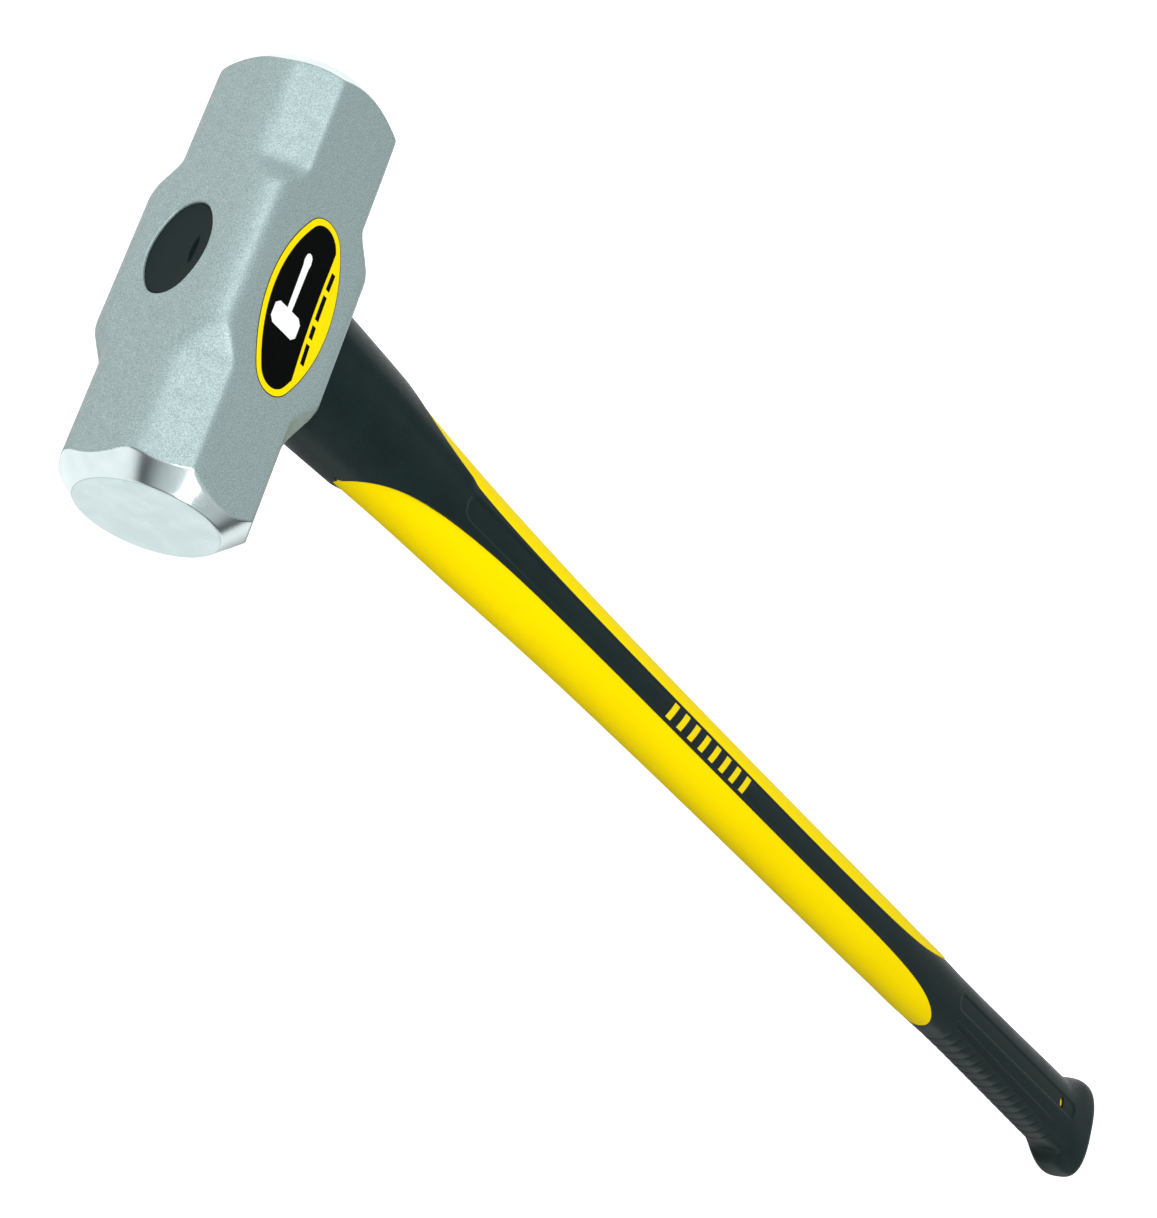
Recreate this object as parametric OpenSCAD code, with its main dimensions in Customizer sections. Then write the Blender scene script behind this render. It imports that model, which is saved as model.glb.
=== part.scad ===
// Sledgehammer with an octagonal forged head and a moulded fibreglass-cored handle.
// It lies on one cheek. +X runs along the handle towards the knob, +Y along the striking
// axis and +Z up through the cheek with the label. The origin is the centre of the lower
// cheek, directly under the centre of the head.

/* [Head] */
// Length of the head from one striking face to the other
head_l = 177.4; // [160:0.2:190]
// Height of the head, along the handle
head_h = 65; // [62:0.5:70]
// Width of the head across its two cheeks
head_w = 61.5; // [60:0.5:66]
// Leg of the 45 degree corners near the striking faces
end_corner = 15.7; // [13:0.1:18]
// Leg of the 45 degree corners round the eye
mid_corner = 7.6; // [5:0.1:10]
// Half length of the stretch round the eye with the small corners
mid_half_l = 30; // [26:1:34]
// Length over which the small corners turn into the large ones
corner_ramp_l = 17; // [12:1:24]
// Radius of each striking face
face_r = 26.15; // [24:0.05:28]

/* [Eye] */
// Half length of the oval eye, along the striking axis
eye_half_l = 19.1; // [17:0.1:21]
// Half width of the oval eye
eye_half_w = 13.5; // [12:0.1:15]
// Depth of the cap's top below the head's top face
cap_recess = 0.9; // [0.4:0.1:2]
// Thickness of the cap that closes the eye
cap_t = 4; // [3:0.5:6]

/* [Handle] */
// Length of the hammer over the head and the knob
overall_l = 914; // [900:1:930]
// Thickness of the rubber over the jacket
rubber_t = 2.4; // [2:0.1:3]
// Half width of the rubber strip at the middle of the handle
strip_half_w = 6.45; // [5.5:0.05:7.5]
// Distance from the head's centre to the head end of the jacket's windows
window_start = 77.8; // [74:0.2:82]
// Distance from the head's centre to the knob end of the jacket's windows
window_end = 646; // [640:1:650]
// Radius of the locating holes in the rubber near the knob
locating_hole_r = 3.2; // [2.5:0.1:4]

/* [Core] */
// Half depth of the fibreglass core
core_half_l = 13.5; // [11:0.1:14.5]
// Half thickness of the fibreglass core
core_half_w = 9.2; // [8:0.1:10]
// Length of solid rubber and jacket past the end of the core
core_end_cover = 22; // [18:1:30]

/* [Grip] */
// Number of ribs on the front of the grip
rib_count = 16; // [14:1:17]
// Distance from one rib to the next
rib_pitch = 10.4; // [9.5:0.1:10.5]
// Height of the ribs
rib_h = 0.6; // [0.3:0.1:0.8]
// Depth of the long panels on the strips and the grip
panel_depth = 0.6; // [0.3:0.1:0.9]

/* [Label] */
// Half length of the oval label
label_half_l = 35.1; // [33:0.1:37]
// Half width of the oval label
label_half_w = 17.3; // [15:0.1:18]
// Thickness of the label
label_t = 0.3; // [0.2:0.1:0.5]

/* [Hidden] */

head_top_x = -head_h / 2;
head_foot_x = head_h / 2;
cheek_z = head_w / 2;
knob_end_x = overall_l + head_top_x;
cap_top_x = head_top_x + cap_recess;
cap_foot_x = cap_top_x + cap_t;
core_end_x = knob_end_x - core_end_cover;
jacket_end_cover = 6;
jacket_end_x = core_end_x + jacket_end_cover;

// Radii of the small ends of the four-arc ovals
eye_tip_r = 10.6;
core_tip_r = 7.4;
label_tip_r = 10.5;
side_tightness = 0.99;

// Lengths over which the rubber's edge falls from the neck and rises to the grip
neck_fall = 37;
grip_rise = 29;

// Sections are superellipses of this power
section_power = 2.2;
// Steps of a quarter section on the rubber strip and on the window, and the last of its points
strip_points = 4;
window_points = 5;
quarter = strip_points + window_points + 1;
// How far the foot of the rubber's edge stands outside its top
wall_draft = 0.1;
// The rubber's edge stops at this share of the half depth, where a window ends
tip_share = 0.95;

// Half depth of the handle from front to back, as [distance from the head's centre, half depth]
depth_stations = [
    [30, 27.5], [78, 25.8], [129, 23.5], [184, 21.4], [243, 20], [310, 19.6], [400, 19.9],
    [500, 20.6], [610, 20.6], [665, 19.4], [747, 20.3], [829, 21.8], [900, 22]
];
// Half thickness of the handle, across the cheeks
thickness_stations = [
    [30, 20.3], [78, 18.3], [129, 15.9], [184, 15.3], [310, 14.8], [457, 14.1], [544, 14.6],
    [615, 15.2], [700, 15.5], [829, 16.2], [900, 16.5]
];
// Where the lofts have a section
window_sections = [
    window_start + 0.2, 82, 88, 96, 106, 118, 134, 155, 185, 225, 280, 340, 400, 460, 515, 555, 580,
    598, 612, 623, 632, 639, window_end - 0.2
];
neck_sections = [head_foot_x, 48, 63, window_start];
grip_sections = [window_end, 656, 680, 710, 740, 770, 800, 820];

// Where the grip ends, and the waist in front of the knob's front lobe
knob_start = 829;
waist_start = 825;
waist_l = 17;
waist_depth = 1;
// Where the knob's lobes start, with their lengths and heights
front_lobe_start = 844.5;
front_lobe_l = 19;
front_lobe_h = 8;
back_lobe_start = 831;
back_lobe_l = 34;
back_lobe_h = 7.6;
// Radii of the edge round the knob's end at the front, at the back and at the cheek sides
knob_front_r = 15.5;
knob_back_r = 11;
knob_side_r = 17;
// Power of the sections at the knob, which are boxier than those of the handle
knob_power = 3.05;
knob_power_l = 35;

// Beside the head the neck leans towards the back, up to these amounts
neck_lean_end = 70;
neck_lean_fall = 110;
neck_front_lean = 1.5;
neck_back_lean = 0.6;

rib_start = 661;
rib_end = rib_start + rib_count * rib_pitch;
// Long recesses on the cheek sides, as [start, end, middle, half width]
grip_groove = [662, 816, -10.8, 1.6];
grip_panel = [656, 838, 0.8, 5.3];
strip_panel = [136, 590, 0, 6.2];
locating_hole = [815, 0.6];
hole_draft = 0.2;
hole_top_z = 20;
// How far the windows of the cutting shape stand out of the rubber
clear_of_rubber = 3;

label_centre = [1.2, -3.7];
mark_start = 309;
mark_bars = 8;
mark_pitch = 10.6;
mark_bar_w = 4.4;
mark_half_l = 4.6;
mark_skew = 5;
mark_t = 0.15;
// Radius and half length of the slot in the cap
slot_r = 0.9;
slot_half_l = 6.5;
slot_depth = 1.2;
slot_place = [-0.5, 7.3];

big = 400;
$fn = 64;

forged_silver = "#a9b6b6";
rubber_black = "#232d2e";
safety_yellow = "#ffe600";
resin_amber = "#b8a06a";
fibreglass = "#d9d6b8";

// ---- Curves ------------------------------------------------------------------------

function rise(s, i) = (s[i + 1][1] - s[i][1]) / (s[i + 1][0] - s[i][0]);
function slope(s, i) =
    i == 0 ? rise(s, 0)
    : i == len(s) - 1 ? rise(s, i - 1)
    : (rise(s, i - 1) + rise(s, i)) / 2;
function span_at(s, x, i = 0) = i >= len(s) - 2 || x < s[i + 1][0] ? i : span_at(s, x, i + 1);
// Value at x of the smooth curve through the stations s
function along(s, x) =
    let (i = span_at(s, x), h = s[i + 1][0] - s[i][0], t = (x - s[i][0]) / h)
    let (t2 = t * t, t3 = t2 * t)
    s[i][1] * (2 * t3 - 3 * t2 + 1) + s[i + 1][1] * (3 * t2 - 2 * t3)
    + h * slope(s, i) * (t3 - 2 * t2 + t) + h * slope(s, i + 1) * (t3 - t2);

function clamp01(t) = max(0, min(1, t));
function smooth(t) = let (u = clamp01(t)) u * u * (3 - 2 * u);
// Quarter of an ellipse, from 0 at t = 0 to 1 at t = 1
function bulge(t) = let (u = 1 - clamp01(t)) sqrt(1 - u * u);
// How far the rounded end of the knob pulls in a side whose edge has the radius r
function end_pull(x, r) = r * (1 - sqrt(1 - pow(clamp01((x - knob_end_x + r) / r), 2)));

// Depth of the valleys between the ribs at x
function rib_valley(x) =
    x < rib_start || x > rib_end ? 0 : rib_h * (1 - cos(360 * (x - rib_start) / rib_pitch)) / 2;

// Share of the lean towards the back at x
function lean(x) = 1 - smooth((x - neck_lean_end) / neck_lean_fall);

function front_depth(x) =
    along(depth_stations, x) - neck_front_lean * lean(x) - waist_depth * smooth((x - waist_start) / waist_l)
    + (front_lobe_h + waist_depth) * bulge((x - front_lobe_start) / front_lobe_l) - end_pull(x, knob_front_r);
function back_depth(x) =
    along(depth_stations, x) + neck_back_lean * lean(x)
    + back_lobe_h * smooth((x - back_lobe_start) / back_lobe_l) - end_pull(x, knob_back_r);
function thickness(x) = along(thickness_stations, x) - end_pull(x, knob_side_r);
// Power of the superellipse at x
function power_at(x) = section_power + (knob_power - section_power) * smooth((x - knob_start) / knob_power_l);

// Distance from the middle of the cheek side to the edge of the rubber at x
function rubber_edge(x) =
    strip_half_w + 19.4 * exp((window_start - x) / neck_fall) + 13.3 * exp((x - window_end) / grip_rise);

// ---- Sections and lofts --------------------------------------------------------------

// Thickness at depth y of a superellipse of power p with half axes a and b
function height_at(y, a, b, p = section_power) = b * pow(max(0, 1 - pow(min(1, abs(y) / a), p)), 1 / p);

// Points [y, z] of a quarter, from the middle of the cheek side to the side of the handle.
// Up to the rubber's edge they are sunk by inset, and past it they are raised by proud.
function quarter_points(x, a, b, inset, proud) =
    let (
        edge = min(rubber_edge(x), tip_share * (a - inset)),
        foot = min(rubber_edge(x), tip_share * min(a, a + proud)) + wall_draft
    )
    concat(
        [
            for (i = [0:strip_points])
                let (y = edge * i / strip_points)
                [y, height_at(y, a - inset, b - inset, power_at(x))]
        ],
        [
            for (i = [0:window_points])
                let (y = foot + (a + proud - foot) * sin(90 * i / window_points))
                [y, height_at(y, a + proud, b + proud, power_at(x))]
        ]
    );

// Closed ring of points round the handle at x, from the upper cheek side by the back
function ring(x, inset, proud, valley = 0) =
    let (
        back = quarter_points(x, back_depth(x), thickness(x), inset, proud),
        front = quarter_points(x, front_depth(x) - valley, thickness(x), inset, proud)
    )
    [
        for (p = back) [x, p[0], p[1]],
        for (i = [quarter - 1:-1:0]) [x, back[i][0], -back[i][1]],
        for (i = [1:quarter]) [x, -front[i][0], -front[i][1]],
        for (i = [quarter - 1:-1:1]) [x, -front[i][0], front[i][1]]
    ];

// Solid through a list of rings
module loft(rings) {
    n = len(rings[0]);
    m = len(rings);
    polyhedron(
        points = [for (r = rings) each r],
        faces = concat(
            [[for (j = [n - 1:-1:0]) j]],
            [
                for (i = [0:m - 2], j = [0:n - 1])
                    each let (a = i * n + j, b = i * n + (j + 1) % n)
                    [[a, b + n, a + n], [a, b, b + n]]
            ],
            [[for (j = [0:n - 1]) (m - 1) * n + j]]
        ),
        convexity = 6
    );
}

// Along the knob: its waist, the front lobe's rise and the rounded end
lobe_top = front_lobe_start + front_lobe_l;
knob_sections = concat(
    [knob_start, 834, 839.5],
    [for (i = [0:4]) front_lobe_start + front_lobe_l * (1 - cos(18 * i))],
    [for (i = [0:5]) lobe_top + (knob_end_x - lobe_top) * sin(15 * i)],
    [knob_end_x]
);
rib_sections = [for (i = [0:2 * rib_count]) rib_start + i * rib_pitch / 2];

// The outside of the whole handle
module envelope() {
    sections = concat(neck_sections, window_sections, [window_end], rib_sections, knob_sections);
    loft([for (x = sections) ring(x, 0, 0, rib_valley(x))]);
}

// The outside between the head and the knob, sunk to the floor of the panels
module panel_floor() {
    sections = concat(neck_sections, window_sections, grip_sections, [knob_start, front_lobe_start]);
    loft([for (x = sections) ring(x, panel_depth, -panel_depth)]);
}

// The jacket: sunk by the rubber's thickness, but for its windows, which are raised by proud
module jacket_solid(proud) {
    loft(concat(
        [for (x = neck_sections) ring(x, rubber_t, -rubber_t)],
        [for (x = window_sections) ring(x, rubber_t, proud)],
        [for (x = grip_sections) ring(x, rubber_t, -rubber_t)],
        [ring(knob_start, rubber_t, -rubber_t), jacket_end_ring()]
    ));
}

function jacket_end_ring() = [for (p = ring(knob_start, rubber_t, -rubber_t)) [jacket_end_x, p[1], p[2]]];

// Oval of four arcs with half axes a and b and end arcs of radius r, along Y.
// The side arcs are a touch tighter than the tangent ones, so that they cross the end arcs.
module oval(a, b, r) {
    e = a - r;
    tangent_r = (b * b + e * e - r * r) / (2 * (b - r));
    side_r = side_tightness * tangent_r;
    meeting_y = side_r * e / norm([side_r - b, e]);
    intersection() {
        translate([side_r - b, 0]) circle(side_r, $fn = 180);
        translate([b - side_r, 0]) circle(side_r, $fn = 180);
        square([2 * b + 1, 2 * meeting_y], center = true);
    }
    for (y = [-e, e]) {
        translate([0, y]) circle(r);
    }
}

// Upright prism along X, from x0 to x1, of a plan drawn with its X across the cheeks
module prism_x(x0, x1) {
    translate([x0, 0, 0]) rotate([0, 90, 0]) linear_extrude(height = x1 - x0) children();
}

// Round-ended slot in plan: [start, end, middle, half width]
module racetrack(p) {
    hull() {
        for (x = [p[0] + p[3], p[1] - p[3]]) {
            translate([x, p[2]]) circle(p[3], $fn = 24);
        }
    }
}

// ---- Head -----------------------------------------------------------------------------

// Distance from the head's axis to its 45 degree faces, for a corner of the given leg
function corner_distance(leg) = (head_h / 2 + head_w / 2 - leg) / sqrt(2);

ramp_steps = 8;
corner_half_profile = [
    [head_l / 2, corner_distance(end_corner)],
    for (i = [ramp_steps:-1:0])
        let (t = i / ramp_steps)
        [mid_half_l + t * corner_ramp_l, corner_distance(mid_corner + (end_corner - mid_corner) * smooth(t))]
];

// Slab between two opposite 45 degree faces
module corner_slab(angle) {
    n = len(corner_half_profile);
    upper = concat(corner_half_profile, [for (i = [n - 1:-1:0]) [-corner_half_profile[i][0], corner_half_profile[i][1]]]);
    outline = concat(
        [for (p = upper) [p[1], p[0]]],
        [for (i = [len(upper) - 1:-1:0]) [-upper[i][1], upper[i][0]]]
    );
    rotate([0, angle, 0]) linear_extrude(height = big, center = true) polygon(outline);
}

// Turned ends: 45 degree cones that run out on the octagon, with flat faces
module turned_ends() {
    swell = head_h;
    rotate([90, 0, 0]) rotate_extrude($fn = 120) polygon([
        [0, -head_l / 2],
        [face_r, -head_l / 2],
        [face_r + swell, swell - head_l / 2],
        [face_r + swell, head_l / 2 - swell],
        [face_r, head_l / 2],
        [0, head_l / 2]
    ]);
}

module head() {
    color(forged_silver) translate([0, 0, cheek_z]) difference() {
        intersection() {
            cube([head_h, head_l, head_w], center = true);
            corner_slab(45);
            corner_slab(-45);
            turned_ends();
        }
        prism_x(head_top_x - 1, head_foot_x + 1) oval(eye_half_l, eye_half_w, eye_tip_r);
    }
}

// ---- Inside the eye ----------------------------------------------------------------------

module eye_resin() {
    color(resin_amber) translate([0, 0, cheek_z]) difference() {
        prism_x(cap_foot_x, head_foot_x) oval(eye_half_l, eye_half_w, eye_tip_r);
        prism_x(cap_foot_x - 1, head_foot_x + 1) oval(core_half_l, core_half_w, core_tip_r);
    }
}

module eye_cap() {
    color(rubber_black) translate([0, 0, cheek_z]) difference() {
        prism_x(cap_top_x, cap_foot_x) oval(eye_half_l, eye_half_w, eye_tip_r);
        translate([cap_top_x - 1, slot_place[0], slot_place[1]]) {
            for (y = [-slot_half_l, slot_half_l]) {
                translate([0, y, 0]) rotate([0, 90, 0]) cylinder(h = 1 + slot_depth, r = slot_r);
            }
            translate([0, -slot_half_l, -slot_r]) cube([1 + slot_depth, 2 * slot_half_l, 2 * slot_r]);
        }
    }
}

// ---- Handle --------------------------------------------------------------------------------

module core_rod() {
    color(fibreglass) translate([0, 0, cheek_z])
    prism_x(cap_foot_x, core_end_x) oval(core_half_l, core_half_w, core_tip_r);
}

module handle_jacket() {
    color(safety_yellow) translate([0, 0, cheek_z]) difference() {
        jacket_solid(0);
        prism_x(head_foot_x - 1, core_end_x) oval(core_half_l, core_half_w, core_tip_r);
    }
}

// What the panels, the groove and the locating hole take away on the upper cheek side
module cheek_side_cuts() {
    difference() {
        linear_extrude(height = hole_top_z) {
            racetrack(strip_panel);
            racetrack(grip_panel);
            racetrack(grip_groove);
        }
        panel_floor();
    }
    translate([locating_hole[0], locating_hole[1], 0]) hull() {
        cylinder(h = 1, r = locating_hole_r - hole_draft, $fn = 24);
        translate([0, 0, hole_top_z - 1]) cylinder(h = 1, r = locating_hole_r + hole_draft, $fn = 24);
    }
}

module overmould() {
    color(rubber_black) translate([0, 0, cheek_z]) difference() {
        envelope();
        jacket_solid(clear_of_rubber);
        cheek_side_cuts();
        mirror([0, 0, 1]) cheek_side_cuts();
    }
}

// ---- Label and mark ---------------------------------------------------------------------------

module head_label() {
    color(safety_yellow) translate([label_centre[0], label_centre[1], head_w]) linear_extrude(height = label_t)
    oval(label_half_l, label_half_w, label_tip_r);
}

// Point on the panel's floor on the upper cheek side, raised by up
function on_floor(x, y, up) =
    [x, y, height_at(y, front_depth(x) - panel_depth, thickness(x) - panel_depth) + up];

// One slanted bar that follows the panel's floor
module mark_bar(x0) {
    n = 6;
    rows = [for (i = [0:n]) let (t = 2 * i / n - 1) [x0 + mark_skew * (t + 1) / 2, t * mark_half_l]];
    ring_list = [
        for (r = rows) [
            on_floor(r[0], r[1], 0),
            on_floor(r[0] + mark_bar_w, r[1], 0),
            on_floor(r[0] + mark_bar_w, r[1], mark_t),
            on_floor(r[0], r[1], mark_t)
        ]
    ];
    loft(ring_list);
}

module strip_mark() {
    color(safety_yellow) translate([0, 0, cheek_z])
    for (i = [0:mark_bars - 1]) {
        mark_bar(mark_start + i * mark_pitch);
    }
}

head();
eye_resin();
eye_cap();
core_rod();
handle_jacket();
overmould();
head_label();
strip_mark();
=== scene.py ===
import math

import bmesh
import bpy
import numpy as np
from mathutils import Matrix, Vector


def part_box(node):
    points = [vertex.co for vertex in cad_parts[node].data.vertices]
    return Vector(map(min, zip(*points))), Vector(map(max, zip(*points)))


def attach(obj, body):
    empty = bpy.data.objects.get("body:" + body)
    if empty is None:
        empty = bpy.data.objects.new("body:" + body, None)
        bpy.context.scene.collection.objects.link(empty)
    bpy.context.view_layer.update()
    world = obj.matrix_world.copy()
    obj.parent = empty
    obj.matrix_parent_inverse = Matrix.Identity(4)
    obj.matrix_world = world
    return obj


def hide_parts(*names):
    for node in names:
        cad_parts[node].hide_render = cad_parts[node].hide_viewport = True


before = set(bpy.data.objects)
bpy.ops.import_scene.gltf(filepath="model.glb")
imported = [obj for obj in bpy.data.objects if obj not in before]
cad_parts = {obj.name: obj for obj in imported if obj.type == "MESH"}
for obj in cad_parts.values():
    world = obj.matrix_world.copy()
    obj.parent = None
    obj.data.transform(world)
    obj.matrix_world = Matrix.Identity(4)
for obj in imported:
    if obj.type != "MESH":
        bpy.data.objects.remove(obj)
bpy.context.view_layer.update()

bpy.context.scene.view_settings.view_transform = "Standard"

# ---- Sizes, in millimetres, in the head's own frame: X to the knob, Y to the upper striking
# ---- face, Z to the cheek with the label, from the centre of the head. -------------------------

MM = 0.001
HEAD_LOW, HEAD_HIGH = (1000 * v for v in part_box("head"))
HEAD_H = HEAD_HIGH.x - HEAD_LOW.x
HEAD_L = HEAD_HIGH.y - HEAD_LOW.y
HEAD_W = HEAD_HIGH.z - HEAD_LOW.z
CHEEK_Z = HEAD_W / 2
KNOB_END = 1000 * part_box("overmould")[1].x
JACKET_END = 1000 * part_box("handle_jacket")[1].x
CORE_END = 1000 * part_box("core_rod")[1].x
CORE_HALF_L = 500 * (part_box("core_rod")[1].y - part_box("core_rod")[0].y)
CORE_HALF_W = 500 * (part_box("core_rod")[1].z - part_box("core_rod")[0].z)
EYE_HALF_L = 1000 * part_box("eye_cap")[1].y
EYE_HALF_W = 1000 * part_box("eye_cap")[1].z - CHEEK_Z
CAP_TOP = 1000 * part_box("eye_cap")[0].x
CAP_FOOT = 1000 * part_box("eye_cap")[1].x
LABEL_LOW, LABEL_HIGH = (1000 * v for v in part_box("head_label"))

# Head
FACE_R = 26.15
END_CORNER = 15.7
MID_CORNER = 5.5
MID_HALF_L = 25.0
CORNER_RAMP = 17.0
MID_ROUND = 10.5
SIDE_SOFT = 4.5
EDGE_SOFT = 1.1
FACE_SOFT = 0.5
EYE_TIP_R = 10.6
CORE_TIP_R = 7.4
LABEL_TIP_R = 10.5

# Handle
SECTION_POWER = 2.2
RUBBER_T = 2.4
STRIP_HALF_W = 6.45
WINDOW_START, WINDOW_END = 77.8, 646.0
NECK_FALL, GRIP_RISE = 37.0, 29.0
NECK_SPREAD, GRIP_SPREAD = 19.4, 13.3
TIP_SHARE = 0.9999
DEPTH_STATIONS = [
    (30, 27.5), (78, 25.8), (129, 23.5), (184, 21.4), (243, 20), (310, 19.6), (400, 19.9),
    (500, 20.6), (610, 20.6), (665, 19.4), (747, 20.3), (829, 21.8), (900, 22),
]
THICKNESS_STATIONS = [
    (30, 20.3), (78, 18.3), (129, 15.9), (184, 15.3), (310, 14.8), (457, 14.1), (544, 14.6),
    (615, 15.2), (700, 15.5), (829, 16.2), (900, 16.5),
]
KNOB_START = 829.0
WAIST_START, WAIST_L, WAIST_DEPTH = 825.0, 17.0, 1.0
FRONT_LOBE_START, FRONT_LOBE_L, FRONT_LOBE_H = 844.5, 19.0, 8.0
BACK_LOBE_START, BACK_LOBE_L, BACK_LOBE_H = 831.0, 34.0, 7.6
LOBE_POWER, EDGE_POWER, FRONT_SPREAD_L = 1.7, 10.0, 34.0
KNOB_FRONT_R, KNOB_BACK_R, KNOB_SIDE_R = 15.5, 11.0, 17.0
KNOB_POWER, KNOB_POWER_L = 3.05, 35.0
LEAN_END, LEAN_FALL = 70.0, 110.0
FRONT_LEAN, BACK_LEAN = 1.5, 0.6
RIB_START, RIB_COUNT, RIB_PITCH, RIB_H = 661.0, 16, 10.4, 0.5
RIB_END = RIB_START + RIB_COUNT * RIB_PITCH
STRIP_PANEL = (136.0, 590.0, 0.0, 5.9)
GRIP_PANEL = (656.0, 838.0, 0.8, 5.3)
PANEL_DEPTH, PANEL_WALL = 0.7, 1.6
GROOVE_START, GROOVE_END, GROOVE_DEPTH = 662.0, 818.0, 1.1
# The groove's edges towards the upper and the lower striking face, as (where it starts, how far it slants)
GROOVE_BACK, GROOVE_FRONT = (8.6, 2.8), (12.4, 4.2)
GROOVE_BACK_WALL, GROOVE_FRONT_WALL = 1.2, 1.3
GROOVE_FRONT_LINE = 0.5
COLLAR_H, COLLAR_END = 1.0, 134.0
HOLE_AT = (818.0, 0.6)
HOLE_R = 3.2
MARK_START, MARK_BARS, MARK_PITCH, MARK_BAR_W = 309.0, 8, 10.6, 4.4
MARK_HALF_L, MARK_SKEW = 4.6, 5.0


# ---- Curves ---------------------------------------------------------------------------------


def along(stations, x):
    """Smooth curve through the stations, as an array over x."""
    sx, sy = np.array(stations, float).T
    x = np.asarray(x, float)
    rises = np.diff(sy) / np.diff(sx)
    slopes = np.concatenate([rises[:1], (rises[:-1] + rises[1:]) / 2, rises[-1:]])
    i = np.clip(np.searchsorted(sx, x, side="right") - 1, 0, len(sx) - 2)
    h = sx[i + 1] - sx[i]
    t = (x - sx[i]) / h
    return (
        sy[i] * (2 * t**3 - 3 * t**2 + 1)
        + sy[i + 1] * (3 * t**2 - 2 * t**3)
        + h * slopes[i] * (t**3 - 2 * t**2 + t)
        + h * slopes[i + 1] * (t**3 - t**2)
    )


def clamp01(t):
    return np.clip(t, 0.0, 1.0)


def smooth(t):
    u = clamp01(t)
    return u * u * (3 - 2 * u)


def bulge(t):
    u = 1 - clamp01(t)
    return np.sqrt(np.maximum(0, 1 - u * u))


def end_pull(x, r):
    """How far the rounded end of the knob pulls in a side whose edge has the radius r."""
    t = clamp01((x - KNOB_END + r) / r)
    return r * (1 - np.sqrt(np.maximum(0, 1 - t * t)))


def lean(x):
    """Share of the neck's lean towards the back."""
    return 1 - smooth((x - LEAN_END) / LEAN_FALL)


def lobe_heights(x, front):
    """How far the knob's lobe reaches out at x: on its very edge, and on the cheeks beside it."""
    if front:
        height = FRONT_LOBE_H + WAIST_DEPTH
        t = (x - FRONT_LOBE_START) / FRONT_LOBE_L
        return height * bulge(t) * smooth(t / 0.3), height * smooth((x - KNOB_START) / FRONT_SPREAD_L)
    height = BACK_LOBE_H * smooth((x - BACK_LOBE_START) / BACK_LOBE_L)
    return height, height


def front_depth(x):
    """Half depth towards the lower striking face, without the knob's lobe."""
    waist = WAIST_DEPTH * smooth((x - WAIST_START) / WAIST_L)
    return along(DEPTH_STATIONS, x) - FRONT_LEAN * lean(x) - waist - end_pull(x, KNOB_FRONT_R)


def back_depth(x):
    """Half depth towards the upper striking face, without the knob's lobe."""
    return along(DEPTH_STATIONS, x) + BACK_LEAN * lean(x) - end_pull(x, KNOB_BACK_R)


def thickness(x):
    return along(THICKNESS_STATIONS, x) - end_pull(x, KNOB_SIDE_R)


def power_at(x):
    """Power of the section's superellipse at x."""
    return SECTION_POWER + (KNOB_POWER - SECTION_POWER) * smooth((x - KNOB_START) / KNOB_POWER_L)


def rubber_edge(x):
    """Half width of the rubber on the cheek side: a strip that widens to the neck and to the grip."""
    neck = NECK_SPREAD * np.exp((WINDOW_START - x) / NECK_FALL)
    grip = GRIP_SPREAD * np.exp((x - WINDOW_END) / GRIP_RISE)
    return STRIP_HALF_W + neck + grip


def fillet(d, r):
    """How far a rounded edge of radius r has dropped at distance d from it."""
    u = clamp01((r - d) / r)
    return r * (1 - np.sqrt(np.maximum(0, 1 - u * u)))


# ---- Mesh helpers ------------------------------------------------------------------------------


def make_object(name, verts, faces, smooth_angle=40):
    """A mesh object from vertices in millimetres in the head's frame."""
    mesh = bpy.data.meshes.new(name)
    points = np.asarray(verts, float) * MM
    points[:, 2] += CHEEK_Z * MM
    mesh.from_pydata(points.tolist(), [], [list(map(int, f)) for f in faces])
    mesh.validate()
    mesh.shade_smooth()
    mesh.set_sharp_from_angle(angle=math.radians(smooth_angle))
    made = bpy.data.objects.new(name, mesh)
    bpy.context.scene.collection.objects.link(made)
    return made


def grid_faces(rows, cols, base=0, closed=True):
    """Quads between rings of cols points each."""
    last = cols if closed else cols - 1
    return [
        (
            base + i * cols + j,
            base + i * cols + (j + 1) % cols,
            base + (i + 1) * cols + (j + 1) % cols,
            base + (i + 1) * cols + j,
        )
        for i in range(rows - 1)
        for j in range(last)
    ]


def outward(obj):
    """Turns every face outward."""
    bm = bmesh.new()
    bm.from_mesh(obj.data)
    bmesh.ops.recalc_face_normals(bm, faces=bm.faces)
    bm.to_mesh(obj.data)
    bm.free()
    return obj


def apply_modifiers(obj):
    graph = bpy.context.evaluated_depsgraph_get()
    mesh = bpy.data.meshes.new_from_object(obj.evaluated_get(graph))
    obj.modifiers.clear()
    obj.data = mesh
    return obj


def cut(obj, cutter):
    """Takes the cutter's solid out of obj."""
    modifier = obj.modifiers.new("cut", "BOOLEAN")
    modifier.operation = "DIFFERENCE"
    modifier.solver = "MANIFOLD"
    modifier.object = cutter
    apply_modifiers(obj)
    bpy.data.objects.remove(cutter)
    return obj


def coat(obj, material):
    """Gives every face of obj this one material."""
    obj.data.materials.clear()
    obj.data.materials.append(material)
    obj.data.polygons.foreach_set("material_index", [0] * len(obj.data.polygons))
    return obj


def finish_piece(obj, slot, *nodes, smooth_angle=40):
    """Rides on the root body and stands for the CAD nodes, whose meshes it hides; slot is not used."""
    obj.data.shade_smooth()
    obj.data.set_sharp_from_angle(angle=math.radians(smooth_angle))
    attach(obj, "root")
    if nodes:
        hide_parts(*nodes)
    return obj


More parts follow.
